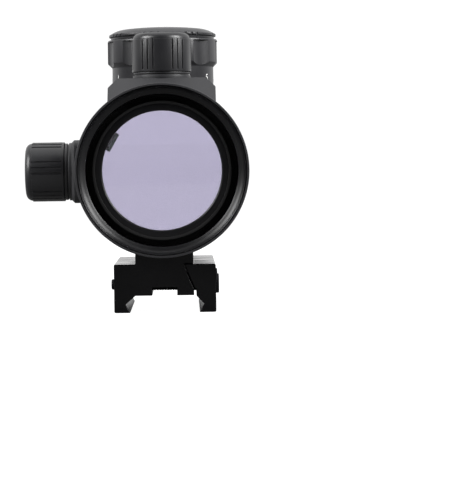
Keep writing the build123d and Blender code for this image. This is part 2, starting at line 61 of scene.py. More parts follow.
tube_low, tube_high = span("main_tube")
rim_r = tube_high.x
tube_length = tube_high.y
boss_face = -tube_low.x
saddle_top = tube_high.z
tube_r = 21.6             # between the two bells
bore_r = 20.0
rear_bell_end = 18.5
front_bell_start = 101.0

bezel_depth = span("eyepiece_bezel")[1].y
bezel_r = span("eyepiece_bezel")[1].x
eye_cell_low, eye_cell_high = span("eyepiece_cell")
recess_r = eye_cell_high.x
recess_depth = eye_cell_high.y
eye_lens_low, eye_lens_high = span("eye_lens")
eye_glass_r = eye_lens_high.x

front_bezel_low, front_bezel_high = span("front_bezel")
objective_low, objective_high = span("objective_cell")
pivot_y = (objective_low.y + objective_high.y) / 2
front_glass_high = span("objective_lens_front")[1]
glass_r = span("objective_lens_rear")[1].x
inner_tube_low, inner_tube_high = span("inner_tube")

cap_low, cap_high = span("elevation_cap")
cap_r = (cap_high.x - cap_low.x) / 2
cap_bottom, cap_top = cap_low.z, cap_high.z
turret_y = (cap_low.y + cap_high.y) / 2
stub_top = span("elevation_turret_base")[1].z

knob_low, knob_high = span("brightness_knob")
knob_r = knob_high.x
knob_bottom, knob_top = knob_low.z, knob_high.z
dial_y = (knob_low.y + knob_high.y) / 2

cell_cap_low, cell_cap_high = span("battery_cap")
cell_cap_r = cell_cap_high.x
cell_cap_dome = cell_cap_high.z

base_low, base_high = span("mount_base")
jaw_low, jaw_high = span("clamp_jaw")
jaw_bottom = base_low.z

# ---- Places: each matrix takes a turned piece's own axis, local Z, to its place ---------------------


def place(origin, x_axis, z_axis):
    """Matrix from a piece's own axes to the object's, both in millimetres."""
    x, z = Vector(x_axis), Vector(z_axis)
    return Matrix.Translation(origin) @ Matrix((x, z.cross(x), z)).transposed().to_4x4()


optics = place((0, 0, 0), (1, 0, 0), (0, 1, 0))
elevation = place((0, turret_y, 0), (1, 0, 0), (0, 0, 1))
windage = place((0, turret_y, 0), (0, 0, 1), (-1, 0, 0))
dial = place((0, dial_y, 0), (1, 0, 0), (0, 0, 1))
# A section drawn as (x, z) becomes a prism along the tube; local Z then points back at the eye.
along_tube = place((0, 0, 0), (1, 0, 0), (0, -1, 0))
# A section drawn as (y, z) becomes a prism across the tube.
across_tube = place((0, 0, 0), (0, 1, 0), (1, 0, 0))

# ---- Node helpers ----------------------------------------------------------------------------------


def add(tree, kind, inputs=None, **settings):
    """Adds a node; inputs maps a socket's name or number to a value or to another node's output."""
    node = tree.nodes.new(kind)
    for key, value in settings.items():
        setattr(node, key, value)
    for key, value in (inputs or {}).items():
        if isinstance(value, bpy.types.NodeSocket):
            tree.links.new(value, node.inputs[key])
        else:
            node.inputs[key].default_value = value
    return node


def linear(code, alpha=1.0):
    """An sRGB hex colour as linear values."""
    channels = [int(code[i:i + 2], 16) / 255 for i in (1, 3, 5)]
    return [c / 12.92 if c <= 0.04045 else ((c + 0.055) / 1.055) ** 2.4 for c in channels] + [alpha]


def new_material(name):
    """Empty material with its output, ready for a shader."""
    material = bpy.data.materials.new(name)
    material.use_nodes = True
    material.node_tree.nodes.clear()
    return material, material.node_tree


def show(tree, shader):
    add(tree, "ShaderNodeOutputMaterial", {"Surface": shader.outputs[0]})


# ---- Materials -------------------------------------------------------------------------------------


def blasted_metal(name, dark, light, roughness, grain, depth, metallic=0.0, ior=1.5):
    """Bead-blasted metal under a dyed finish: an even satin with a fine pebbled grain.

    The grain is a size in millimetres, coarser than real blasting so that it shows."""
    material, tree = new_material(name)
    place_of = add(tree, "ShaderNodeTexCoord").outputs["Object"]
    pebbles = add(tree, "ShaderNodeTexNoise", {"Vector": place_of, "Scale": 1 / (grain * MM), "Detail": 3.0})
    clouds = add(tree, "ShaderNodeTexNoise", {"Vector": place_of, "Scale": 1 / (9 * MM), "Detail": 4.0})
    dye = add(
        tree,
        "ShaderNodeMix",
        {"Factor": clouds.outputs["Fac"], "A": linear(dark), "B": linear(light)},
        data_type="RGBA",
    )
    shine = add(
        tree,
        "ShaderNodeMapRange",
        {"Value": clouds.outputs["Fac"], "From Min": 0.3, "From Max": 0.7,
         "To Min": roughness - 0.04, "To Max": roughness + 0.05},
    )
    relief = add(
        tree,
        "ShaderNodeBump",
        {"Height": pebbles.outputs["Fac"], "Strength": depth, "Distance": 0.05 * MM},
    )
    shader = add(
        tree,
        "ShaderNodeBsdfPrincipled",
        {
            "Base Color": dye.outputs["Result"],
            "Roughness": shine.outputs["Result"],
            "Normal": relief.outputs["Normal"],
            "Metallic": metallic,
        },
    )
    if not metallic:
        shader.inputs["IOR"].default_value = ior
    show(tree, shader)
    return material


def turned_metal(name, dark, light, roughness, axis, metallic=1.0, ring_pitch=0.12):
    """Bright metal off a lathe: fine tool rings round its own axis, so a highlight spreads across them."""
    material, tree = new_material(name)
    place_of = add(tree, "ShaderNodeTexCoord").outputs["Object"]
    stretch = [1 / (2 * MM)] * 3
    stretch["XYZ".index(axis)] = 1 / (ring_pitch * MM)
    rings = add(
        tree,
        "ShaderNodeTexNoise",
        {"Vector": add(tree, "ShaderNodeMapping", {"Vector": place_of, "Scale": stretch}).outputs[0],
         "Scale": 1.0, "Detail": 2.0},
    )
    tone = add(
        tree,
        "ShaderNodeMix",
        {"Factor": rings.outputs["Fac"], "A": linear(dark), "B": linear(light)},
        data_type="RGBA",
    )
    relief = add(
        tree, "ShaderNodeBump", {"Height": rings.outputs["Fac"], "Strength": 0.25, "Distance": 0.02 * MM}
    )
    shine = add(
        tree,
        "ShaderNodeMapRange",
        {"Value": rings.outputs["Fac"], "To Min": roughness - 0.06, "To Max": roughness + 0.06},
    )
    shader = add(
        tree,
        "ShaderNodeBsdfPrincipled",
        {
            "Base Color": tone.outputs["Result"],
            "Roughness": shine.outputs["Result"],
            "Normal": relief.outputs["Normal"],
            "Metallic": metallic,
        },
    )
    show(tree, shader)
    return material


def moulded(name, dark, light, roughness, grain, depth, ior=1.5):
    """Moulded rubber or plastic: a soft mottled skin with the mould's fine texture."""
    material, tree = new_material(name)
    place_of = add(tree, "ShaderNodeTexCoord").outputs["Object"]
    skin = add(tree, "ShaderNodeTexVoronoi", {"Vector": place_of, "Scale": 1 / (grain * MM)})
    patches = add(tree, "ShaderNodeTexNoise", {"Vector": place_of, "Scale": 1 / (3 * MM), "Detail": 3.0})
    tone = add(
        tree,
        "ShaderNodeMix",
        {"Factor": patches.outputs["Fac"], "A": linear(dark), "B": linear(light)},
        data_type="RGBA",
    )
    relief = add(
        tree, "ShaderNodeBump", {"Height": skin.outputs["Distance"], "Strength": depth, "Distance": 0.04 * MM}
    )
    shader = add(
        tree,
        "ShaderNodeBsdfPrincipled",
        {
            "Base Color": tone.outputs["Result"],
            "Roughness": roughness,
            "Normal": relief.outputs["Normal"],
            "IOR": ior,
        },
    )
    show(tree, shader)
    return material


def optical_glass(name, tint, ior):
    """Polished optical glass; its thin coating tints what passes through, a little unevenly across the glass.
    """
    material, tree = new_material(name)
    place_of = add(tree, "ShaderNodeTexCoord").outputs["Object"]
    coating = add(tree, "ShaderNodeTexNoise", {"Vector": place_of, "Scale": 1 / (30 * MM), "Detail": 1.0})
    thinner = [min(1.0, channel * 1.03) for channel in linear(tint)[:3]] + [1.0]
    tone = add(
        tree,
        "ShaderNodeMix",
        {"Factor": coating.outputs["Fac"], "A": linear(tint), "B": thinner},
        data_type="RGBA",
    )
    shader = add(
        tree,
        "ShaderNodeBsdfPrincipled",
        {"Base Color": tone.outputs["Result"], "Roughness": 0.0, "IOR": ior, "Transmission Weight": 1.0},
    )
    show(tree, shader)
    return material


# The ring, the lens cells and the clamp have an index below that of real anodising: they stay dark head on.
tube_finish = blasted_metal("black_anodised_aluminium", "#202022", "#28282b", 0.46, 0.22, 0.3)
bezel_finish = blasted_metal("black_anodised_turned_ring", "#08080a", "#0d0d0f", 0.34, 0.2, 0.1, ior=1.36)
cell_finish = blasted_metal("matt_black_optical_coating", "#040405", "#070708", 0.66, 0.25, 0.3, ior=1.38)
cap_finish = blasted_metal("satin_black_anodised_cap", "#19191b", "#222225", 0.36, 0.18, 0.2)
dial_finish = blasted_metal("satin_black_anodised_dial", "#1d1d20", "#262629", 0.35, 0.18, 0.2)
clamp_finish = blasted_metal("black_anodised_extrusion", "#050506", "#080809", 0.16, 0.3, 0.05, ior=1.3)
steel_finish = turned_metal("black_oxide_steel", "#2a2a2c", "#3c3c3f", 0.38, "X")
bright_finish = turned_metal("ground_steel", "#8c8c8e", "#b4b4b6", 0.25, "Z")
spring_finish = turned_metal("tempered_spring_steel", "#707277", "#8d8f94", 0.3, "Y")
brass_finish = turned_metal("turned_brass", "#b08a45", "#cfa95c", 0.3, "Z")
cell_steel_finish = turned_metal("nickel_plated_steel", "#a9a9ab", "#c9c9cb", 0.22, "Z")
rubber_finish = moulded("nitrile_rubber", "#0f0f10", "#161617", 0.62, 0.25, 0.4)
nylon_finish = moulded("moulded_nylon", "#cfccc0", "#ddd9cf", 0.42, 0.3, 0.3)
plastic_finish = moulded("black_moulded_abs", "#070708", "#0c0c0d", 0.5, 0.25, 0.1)
board_finish = moulded("green_solder_resist", "#1c3a2a", "#234635", 0.4, 0.5, 0.03)
emitter_finish = moulded("clear_red_epoxy", "#a01010", "#c41a18", 0.12, 0.8, 0.05)
flex_finish = moulded("amber_polyimide_film", "#9a5a16", "#b8721f", 0.3, 0.6, 0.15)
ink_finish = moulded("white_filled_enamel", "#d8d8d6", "#e8e8e6", 0.4, 0.3, 0.15)
eye_glass_finish = optical_glass("lavender_coated_glass", "#e6e4f0", 1.52)
mirror_glass_finish = optical_glass("red_mirror_coated_glass", "#cac7d3", 1.62)
clear_glass_finish = optical_glass("crown_glass", "#f4f3f8", 1.52)

slot_finish = {
    "tube_black": tube_finish,
    "bezel_black": bezel_finish,
    "cell_black": cell_finish,
    "cap_black": cap_finish,
    "dial_black": dial_finish,
    "clamp_black": clamp_finish,
    "coated_glass": eye_glass_finish,
    "mirror_glass": mirror_glass_finish,
    "clear_glass": clear_glass_finish,
    "black_steel": steel_finish,
    "bright_steel": bright_finish,
    "brass": brass_finish,
    "spring_steel": spring_finish,
    "seal_rubber": rubber_finish,
    "nylon": nylon_finish,
    "housing_plastic": plastic_finish,
    "circuit_board": board_finish,
    "emitter_red": emitter_finish,
    "flex_amber": flex_finish,
    "cell_steel": cell_steel_finish,
    "index_white": ink_finish,
}
node_slot = {part["node"]: part["material_slot"] for part in frame["record"]["subparts"]}
node_body = {n: body for body, members in frame["record"]["behaviour"]["bodies"].items() for n in members}
for node, obj in nodes.items():
    obj.data.materials.clear()
    obj.data.materials.append(slot_finish[node_slot[node]])

# ---- Mesh helpers ----------------------------------------------------------------------------------


def round_corners(outline, size, steps=3):
    """Closed outline with its corners rounded; a point's own third value is used before the size."""
    rounded = []
    count = len(outline)
    for k, point in enumerate(outline):
        before, corner, after = (Vector(outline[(k + j) % count][:2]) for j in (-1, 0, 1))
        into, out_of = before - corner, after - corner
        bend = pi - into.angle(out_of)
        radius = point[2] if len(point) > 2 else size
        if bend < radians(12) or abs(corner.x) < 1e-6 or not radius:
            rounded.append(corner)
            continue
        reach = min(radius * tan(bend / 2), 0.45 * into.length, 0.45 * out_of.length)
        start, end = corner + into.normalized() * reach, corner + out_of.normalized() * reach
        for step in range(steps + 1):
            s = step / steps
            rounded.append(start * (1 - s) ** 2 + corner * 2 * s * (1 - s) + end * s**2)
    return rounded


def arc(centre, radius, first, last, steps=12):
    """Points on an arc between two angles in degrees."""
    angles = [radians(first + (last - first) * k / steps) for k in range(steps + 1)]
    return [(centre[0] + radius * cos(a), centre[1] + radius * sin(a)) for a in angles]


def mesh_object(name, mesh):
    obj = bpy.data.objects.new(name, mesh)
    bpy.context.scene.collection.objects.link(obj)
    return obj


def from_bmesh(name, shape):
    bmesh.ops.recalc_face_normals(shape, faces=shape.faces)
    mesh = bpy.data.meshes.new(name)
    shape.to_mesh(mesh)
    shape.free()
    return mesh_object(name, mesh)


def lathe(name, outline, fillet=0.15, segments=144):
    """Solid turned about local Z from a closed outline of (radius, height) points in millimetres."""
    points = round_corners(outline, fillet)
    shape = bmesh.new()
    rings = []
    for radius, height in points:
        if radius < 1e-6:
            rings.append([shape.verts.new((0, 0, height))] * segments)
            continue
        turns = [2 * pi * k / segments for k in range(segments)]
        rings.append([shape.verts.new((radius * cos(a), radius * sin(a), height)) for a in turns])
    for k, ring in enumerate(rings):
        after = rings[(k + 1) % len(rings)]
        for j in range(segments):
            corners = [ring[j], ring[(j + 1) % segments], after[(j + 1) % segments], after[j]]
            unique = list(dict.fromkeys(corners))
            if len(unique) > 2:
                shape.faces.new(unique)
    return from_bmesh(name, shape)


def inset(outline, depth):
    """Closed outline drawn again at a depth inside itself."""
    count = len(outline)
    area = sum(outline[k - 1].cross(outline[k]) for k in range(count))
    side = 1 if area > 0 else -1
    inner = []
    for k in range(count):
        into = (outline[k] - outline[k - 1]).normalized()
        out_of = (outline[(k + 1) % count] - outline[k]).normalized()
        mitre = (into + out_of).normalized()
        normal = Vector((-mitre.y, mitre.x)) * side
        inner.append(outline[k] + normal * depth / max(0.5, mitre.dot(into)))
    return inner


def prism(name, outline, bottom, top, chamfer=0.2):
    """Solid of a closed (x, y) outline, from bottom to top along local Z, with chamfered ends."""
    outline = [Vector(point[:2]) for point in outline]
    shrunk = inset(outline, chamfer)
    levels = [(shrunk, bottom), (outline, bottom + chamfer), (outline, top - chamfer), (shrunk, top)]
    shape = bmesh.new()
    loops = [[shape.verts.new((p.x, p.y, height)) for p in points] for points, height in levels]
    for loop in (loops[0], loops[-1]):
        rim = [shape.edges.new((loop[k - 1], loop[k])) for k in range(len(loop))]
        bmesh.ops.triangle_fill(shape, edges=rim, use_beauty=True)
    for lower, upper in zip(loops, loops[1:]):
        for k in range(len(outline)):
            shape.faces.new((lower[k - 1], lower[k], upper[k], upper[k - 1]))
    return from_bmesh(name, shape)


def bake_modifiers(obj):
    """Applies an object's modifiers to its mesh."""
    bpy.context.view_layer.update()
    result = obj.evaluated_get(bpy.context.evaluated_depsgraph_get())
    obj.data = bpy.data.meshes.new_from_object(result)
    obj.modifiers.clear()
    return obj


def combine(obj, other, operation):
    """Adds or takes away another solid, which is used up."""
    cut = obj.modifiers.new("combine", "BOOLEAN")
    cut.object = other
    cut.operation = operation
    cut.solver = "EXACT"
    bake_modifiers(obj)
    bpy.data.objects.remove(other)
    return obj


def run_tree(obj, tree, values):
    """Runs a geometry tree on an object and keeps its result as the object's plain mesh."""
    modifier = obj.modifiers.new(tree.name, "NODES")
    modifier.node_group = tree
    for item in tree.interface.items_tree:
        if item.item_type == "SOCKET" and item.in_out == "INPUT" and item.name in values:
            modifier[item.identifier] = values[item.name]
    return bake_modifiers(obj)


def moved(obj, where):
    obj.data.transform(where)
    return obj


def finish_piece(obj, where, body, slot, stands_for=(), crease=32):
    """Puts a piece in its place in metres, smooths it, and hands it to its body."""
    moved(obj, Matrix.Scale(MM, 4) @ where)
    obj.data.shade_smooth()
    obj.data.set_sharp_from_angle(angle=radians(crease))
    obj.data.materials.clear()
    obj.data.materials.append(slot_finish[slot])
    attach(obj, body)
    if stands_for:
        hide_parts(*stands_for)
    return obj


def stand_in(obj, node, where=Matrix.Identity(4), **options):
    """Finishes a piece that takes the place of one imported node."""
    return finish_piece(obj, where, node_body[node], node_slot[node], (node,), **options)


# ---- Geometry trees for what repeats -----------------------------------------------------------------


def start_tree(name, inputs):
    """Geometry tree with a geometry input and output and one named input for each size."""
    tree = bpy.data.node_groups.new(name, "GeometryNodeTree")
    tree.interface.new_socket("Geometry", in_out="OUTPUT", socket_type="NodeSocketGeometry")
    tree.interface.new_socket("Geometry", in_out="INPUT", socket_type="NodeSocketGeometry")
    for label, kind in inputs.items():
        tree.interface.new_socket(label, in_out="INPUT", socket_type="NodeSocket" + kind)
    return tree, add(tree, "NodeGroupInput").outputs


def maths(tree, operation, first, second=0.0, third=None):
    inputs = {0: first, 1: second}
    if third is not None:
        inputs[2] = third
    return add(tree, "ShaderNodeMath", inputs, operation=operation).outputs[0]


def end_tree(tree, geometry, material):
    """Closes a tree with real geometry and its material."""
    real = add(tree, "GeometryNodeRealizeInstances", {"Geometry": geometry})
    painted = add(tree, "GeometryNodeSetMaterial", {"Geometry": real.outputs[0], "Material": material})
    add(tree, "NodeGroupOutput", {0: painted.outputs[0]})
    return tree


def grip_cutter_tree():
    """Takes upright round grooves out of a turned piece, in evenly spaced groups round its axis."""
    tree, given = start_tree(
        "grip_grooves",
        {
            "Groups": "Int",
            "Grooves in a Group": "Int",
            "Groove Spacing": "Float",
            "First Angle": "Float",
            "Circle Radius": "Float",
            "Groove Radius": "Float",
            "Groove Sides": "Int",
            "Bottom": "Float",
            "Length": "Float",
            "Material": "Material",
        },
    )
    in_group = given["Grooves in a Group"]
    count = maths(tree, "MULTIPLY", given["Groups"], in_group)
    index = add(tree, "GeometryNodeInputIndex").outputs[0]
    group = maths(tree, "FLOOR", maths(tree, "DIVIDE", maths(tree, "ADD", index, 0.5), in_group))
    within = maths(tree, "SUBTRACT", index, maths(tree, "MULTIPLY", group, in_group))
    middle = maths(tree, "MULTIPLY", maths(tree, "SUBTRACT", in_group, 1.0), 0.5)
    offset = maths(tree, "MULTIPLY", maths(tree, "SUBTRACT", within, middle), given["Groove Spacing"])
    step = maths(tree, "DIVIDE", 2 * pi, given["Groups"])
    angle = maths(tree, "MULTIPLY_ADD", group, step, maths(tree, "ADD", given["First Angle"], offset))
    spot = add(
        tree,
        "ShaderNodeCombineXYZ",
        {
            0: maths(tree, "MULTIPLY", maths(tree, "COSINE", angle), given["Circle Radius"]),
            1: maths(tree, "MULTIPLY", maths(tree, "SINE", angle), given["Circle Radius"]),
            2: maths(tree, "MULTIPLY_ADD", given["Length"], 0.5, given["Bottom"]),
        },
    )
    points = add(tree, "GeometryNodePoints", {"Count": count, "Position": spot.outputs[0]})
    cutter = add(
        tree,
        "GeometryNodeMeshCylinder",
        {"Vertices": given["Groove Sides"], "Radius": given["Groove Radius"], "Depth": given["Length"]},
    )
    cutters = add(
        tree,
        "GeometryNodeInstanceOnPoints",
        {
            "Points": points.outputs[0],
            "Instance": cutter.outputs["Mesh"],
            "Rotation": add(tree, "ShaderNodeCombineXYZ", {2: angle}).outputs[0],
        },
    )
    solid_cutters = add(tree, "GeometryNodeRealizeInstances", {"Geometry": cutters.outputs[0]})
    cut = add(tree, "GeometryNodeMeshBoolean", operation="DIFFERENCE", solver="EXACT")
    tree.links.new(given["Geometry"], cut.inputs["Mesh 1"])
    tree.links.new(solid_cutters.outputs[0], cut.inputs["Mesh 2"])
    return end_tree(tree, cut.outputs[0], given["Material"])


def thread_tree():
    """One screw-thread ridge, wound round local Z from the bottom up."""
    tree, given = start_tree(
        "screw_thread",
        {
            "Bottom Radius": "Float",
            "Top Radius": "Float",
            "Turns": "Float",
            "Pitch": "Float",
            "Ridge": "Float",
            "Bottom": "Float",
            "Steps": "Int",
            "Material": "Material",
        },
    )
    winding = add(
        tree,
        "GeometryNodeCurveSpiral",
        {
            "Resolution": given["Steps"],
            "Rotations": given["Turns"],
            "Start Radius": given["Bottom Radius"],
            "End Radius": given["Top Radius"],
            "Height": maths(tree, "MULTIPLY", given["Turns"], given["Pitch"]),
        },
    )
    lift = add(tree, "ShaderNodeCombineXYZ", {2: given["Bottom"]})
    raised = add(tree, "GeometryNodeSetPosition", {"Geometry": winding.outputs[0], "Offset": lift.outputs[0]})
    section = add(tree, "GeometryNodeCurvePrimitiveCircle", {"Resolution": 4, "Radius": given["Ridge"]})
    ridge = add(
        tree,
        "GeometryNodeCurveToMesh",
        {"Curve": raised.outputs[0], "Profile Curve": section.outputs[0], "Fill Caps": True},
    )
    return end_tree(tree, ridge.outputs[0], given["Material"])


def number_tree():
    """One number, wrapped round a neck about local Z and as thick as its paint."""
    tree, given = start_tree(
        "dial_number",
        {
            "Number": "Int",
            "Angle": "Float",
            "Radius": "Float",
            "Height": "Float",
            "Bottom": "Float",
            "Paint": "Float",
            "Material": "Material",
        },
    )
    words = add(tree, "FunctionNodeValueToString", data_type="INT")
    tree.links.new(given["Number"], words.inputs[0])
    letters = add(
        tree,
        "GeometryNodeStringToCurves",
        {"String": words.outputs[0], "Size": given["Height"]},
        align_x="CENTER",
    )
    outlines = add(tree, "GeometryNodeRealizeInstances", {"Geometry": letters.outputs[0]})
    dense = add(tree, "GeometryNodeResampleCurve", {"Curve": outlines.outputs[0], "Count": 40})
    face = add(tree, "GeometryNodeFillCurve", {"Curve": dense.outputs[0]}, mode="TRIANGLES")
    slab = add(
        tree,
        "GeometryNodeExtrudeMesh",
        {"Mesh": face.outputs[0], "Offset Scale": given["Paint"], "Individual": False},
    )
    backed = add(tree, "GeometryNodeJoinGeometry")
    tree.links.new(slab.outputs["Mesh"], backed.inputs[0])
    back_face = add(tree, "GeometryNodeFlipFaces", {0: face.outputs[0]})
    tree.links.new(back_face.outputs[0], backed.inputs[0])
    closed = add(tree, "GeometryNodeMergeByDistance", {"Geometry": backed.outputs[0], "Distance": 0.0005})
    flat = add(tree, "ShaderNodeSeparateXYZ", {0: add(tree, "GeometryNodeInputPosition").outputs[0]}).outputs
    turn = maths(tree, "ADD", given["Angle"], maths(tree, "DIVIDE", flat[0], given["Radius"]))
    reach = maths(tree, "ADD", given["Radius"], flat[2])
    wrapped = add(
        tree,
        "ShaderNodeCombineXYZ",
        {
            0: maths(tree, "MULTIPLY", maths(tree, "COSINE", turn), reach),
            1: maths(tree, "MULTIPLY", maths(tree, "SINE", turn), reach),
            2: maths(tree, "ADD", given["Bottom"], flat[1]),
        },
    )
    bent = add(
        tree, "GeometryNodeSetPosition", {"Geometry": closed.outputs[0], "Position": wrapped.outputs[0]}
    )
    return end_tree(tree, bent.outputs[0], given["Material"])


grip_grooves = grip_cutter_tree()
screw_thread = thread_tree()
dial_number = number_tree()


def cut_grooves(obj, slot, groups, in_group, spacing, first, circle, radius, bottom, length, sides=20):
    """Cuts the grip's grooves; angles are in degrees and sizes in millimetres."""
    values = {
        "Groups": groups,
        "Grooves in a Group": in_group,
        "Groove Spacing": radians(spacing),
        "First Angle": radians(first),
        "Circle Radius": circle,
        "Groove Radius": radius,
        "Groove Sides": sides,
        "Bottom": bottom,
        "Length": length,
        "Material": slot_finish[slot],
    }
    return run_tree(obj, grip_grooves, values)


def wind_thread(name, slot, bottom_radius, top_radius, bottom, turns, pitch, ridge, steps=64):
    """Screw-thread ridge as a mesh of its own, in millimetres."""
    values = {
        "Bottom Radius": bottom_radius,
        "Top Radius": top_radius,
        "Turns": turns,
        "Pitch": pitch,
        "Ridge": ridge,
        "Bottom": bottom,
        "Steps": steps,
        "Material": slot_finish[slot],
    }
    return run_tree(mesh_object(name, bpy.data.meshes.new(name)), screw_thread, values)


# ---- Tube with its saddle and windage boss ----------------------------------------------------------

saddle_start, saddle_end = 20.0, 91.5
saddle_foot = 17.5        # height where its two sloped ends begin
saddle_half_width = 15.1
saddle_chamfer = 2.7
boss_half = 8.9
boss_corner = 3.0
plug_r = 6.5              # where each turret base is let into the tube
index_y = dial_y - 16.8
index_r = 0.6
index_bottom = 24.5
front_recess_r = front_bezel_high.x
objective_bore_r = 21.66
pivot_shoulder = 106.8    # where the seat of the ball zone begins
shoulder_r = objective_bore_r - 0.45

tube = moved(
    lathe(
        "tube_body",
        [
            (0, 0),
            (rim_r, 0),
            (rim_r, rear_bell_end, 1.2),
            (tube_r, rear_bell_end + 2.5, 1.2),
            (tube_r, front_bell_start - 4, 1.2),
            (rim_r, front_bell_start, 1.2),
            (rim_r, tube_length),
            (0, tube_length),
        ],
        fillet=0.25,
        segments=192,
    ),
    optics,
)
saddle_section = [
    (-saddle_half_width, 0),
    (saddle_half_width, 0),
    (saddle_half_width, saddle_top - saddle_chamfer),
    (saddle_half_width - saddle_chamfer, saddle_top),
    (-saddle_half_width + saddle_chamfer, saddle_top),
    (-saddle_half_width, saddle_top - saddle_chamfer),
]
saddle = prism("saddle", round_corners(saddle_section, 0.5), -saddle_end, -saddle_start, chamfer=0.35)
moved(saddle, along_tube)
for end, way in ((saddle_start, 1), (saddle_end, -1)):
    slope_section = [
        (end - way, saddle_foot - 1),
        (end + way * (saddle_top - saddle_foot + 1), saddle_top + 1),
        (end - way, saddle_top + 1),
    ]
    slope = prism("slope", slope_section, -saddle_half_width - 1, saddle_half_width + 1, chamfer=0.1)
    combine(saddle, moved(slope, across_tube), "DIFFERENCE")
combine(tube, saddle, "UNION")
boss_section = [
    point
    for corner, (x, y) in enumerate(((1, 1), (-1, 1), (-1, -1), (1, -1)))
    for point in arc(
        (x * (boss_half - boss_corner), y * (boss_half - boss_corner)),
        boss_corner,
        90 * corner,
        90 * corner + 90,
        steps=6,
    )
]
combine(tube, moved(prism("boss", boss_section, 0, boss_face, chamfer=0.8), windage), "UNION")
bore = lathe(
    "bore",
    [
        (0, -2),
        (bezel_r, -2),
        (bezel_r, bezel_depth),
        (recess_r, bezel_depth),
        (recess_r, recess_depth),
        (bore_r, recess_depth),
        (bore_r, 94),
        (shoulder_r, 100),
        (shoulder_r, pivot_shoulder),
        (objective_bore_r, pivot_shoulder),
        (objective_bore_r, front_bezel_low.y),
        (front_recess_r, front_bezel_low.y),
        (front_recess_r, tube_length + 2),
        (0, tube_length + 2),
    ],
    fillet=0,
    segments=192,
)
combine(tube, moved(bore, optics), "DIFFERENCE")
for turret_axis in (elevation, windage):
    hole = lathe("turret_hole", [(0, 15), (plug_r, 15), (plug_r, 30), (0, 30)], fillet=0, segments=96)
    combine(tube, moved(hole, turret_axis), "DIFFERENCE")
index_place = place((0, index_y, 0), (1, 0, 0), (0, 0, 1))
index_drill = [(0, index_bottom), (index_r, index_bottom), (index_r, 30), (0, 30)]
index_hole = lathe("index_hole", index_drill, fillet=0, segments=32)
combine(tube, moved(index_hole, index_place), "DIFFERENCE")
stand_in(tube, "main_tube")
index_mark = [(0, index_bottom), (index_r, index_bottom), (index_r, saddle_top - 0.05), (0, saddle_top)]
stand_in(lathe("index_mark", index_mark, fillet=0.05, segments=32), "index_dot", index_place)

# ---- Eyepiece ---------------------------------------------------------------------------------------

bezel_section = [
    (bezel_r - 0.25, 0.35, 0.12),
    (bezel_r, 0.75),
    (bezel_r, bezel_depth),
    (recess_r, bezel_depth),
    (recess_r, 2.1, 0.2),
    (21.2, 1.8, 0),
    (21.75, 1.5, 0),
    (22.25, 1.0, 0),
]
stand_in(lathe("eyepiece_ring", bezel_section, fillet=0.1, segments=192), "eyepiece_bezel", optics)

nose_r = 18.8
nose_start = eye_cell_low.y
flange_start = 8.0
cell_section = [
    (eye_glass_r, nose_start, 0.1),
    (nose_r, nose_start, 0.2),
    (nose_r, flange_start),
    (recess_r, flange_start),
    (recess_r, recess_depth),
    (17.0, recess_depth),
    (17.0, eye_lens_high.y + 0.5),
    (eye_glass_r, eye_lens_high.y + 0.5),
]
stand_in(lathe("eye_lens_cell", cell_section, fillet=0.15, segments=192), "eyepiece_cell", optics)

eye_aperture_r = 16.15
retainer_section = [
    (eye_aperture_r, nose_start + 0.5, 0.1),
    (eye_aperture_r + 0.3, nose_start + 0.2, 0.1),
    (eye_glass_r, nose_start + 0.2, 0.15),
    (eye_glass_r, eye_lens_low.y),
    (eye_aperture_r, eye_lens_low.y),
]
stand_in(lathe("eye_lens_ring", retainer_section, fillet=0.05, segments=192), "eye_retainer", optics)

eye_glass_section = [
    (0, eye_lens_low.y),
    (eye_glass_r, eye_lens_low.y),
    (eye_glass_r, eye_lens_high.y),
    (0, eye_lens_high.y),
]
stand_in(lathe("eye_window", eye_glass_section, fillet=0.2, segments=192), "eye_lens", optics)

# ---- Front of the tube ------------------------------------------------------------------------------

front_bezel_section = [
    (20.0, front_bezel_low.y),
    (front_recess_r, front_bezel_low.y),
    (front_recess_r, tube_length - 0.3),
    (front_recess_r - 0.3, tube_length, 0.15),
    (20.0, tube_length - 2.2, 0.3),
]
stand_in(lathe("front_ring", front_bezel_section, fillet=0.1, segments=192), "front_bezel", optics)

glass_curve = 200.0
glass_aperture_r = 19.35
inner_wall = 0.5
inner_rear_r = 16.8
inner_front_r = 19.25
inner_start, inner_end = inner_tube_low.y, inner_tube_high.y
mirror_back = 5.5         # depths behind the middle of the front glass
doublet_joint = 3.0
cement_gap = 0.02         # keeps the two glasses' faces apart


def dome(radius, sphere_r, top, steps=12):
    """Profile of a shallow dome, from its edge up to its middle on the axis."""
    edges = [radius * (steps - k) / steps for k in range(steps + 1)]
    return [(r, top - sphere_r + sqrt(sphere_r**2 - r**2)) for r in edges]


rear_face = dome(glass_r, glass_curve, front_glass_high.y - mirror_back)
middle_face = dome(glass_r, glass_curve, front_glass_high.y - doublet_joint)
cement_face = dome(glass_r, glass_curve, front_glass_high.y - doublet_joint - cement_gap)
front_face = dome(glass_r, glass_curve, front_glass_high.y)
for name, node, back, front in (
    ("mirror_element", "objective_lens_rear", rear_face, cement_face),
    ("front_element", "objective_lens_front", middle_face, front_face),
):
    stand_in(lathe(name, back[::-1] + front, fillet=0.12, segments=192), node, optics)

ball_r = objective_high.x
ball_edge = objective_high.y - pivot_y
ball_end = pivot_y + ball_edge
ball_tilt = degrees(asin(ball_edge / ball_r))
objective_section = [
    (glass_r, ball_end, 0.1),
    (glass_r, inner_end + 1.9),
    (inner_front_r, inner_end + 1.9),
    (inner_front_r, inner_end),
    (inner_front_r + inner_wall, inner_end),
    *arc((0, pivot_y), ball_r, -ball_tilt, ball_tilt),
]
stand_in(lathe("objective_ball_cell", objective_section, fillet=0.05, segments=192), "objective_cell", optics)

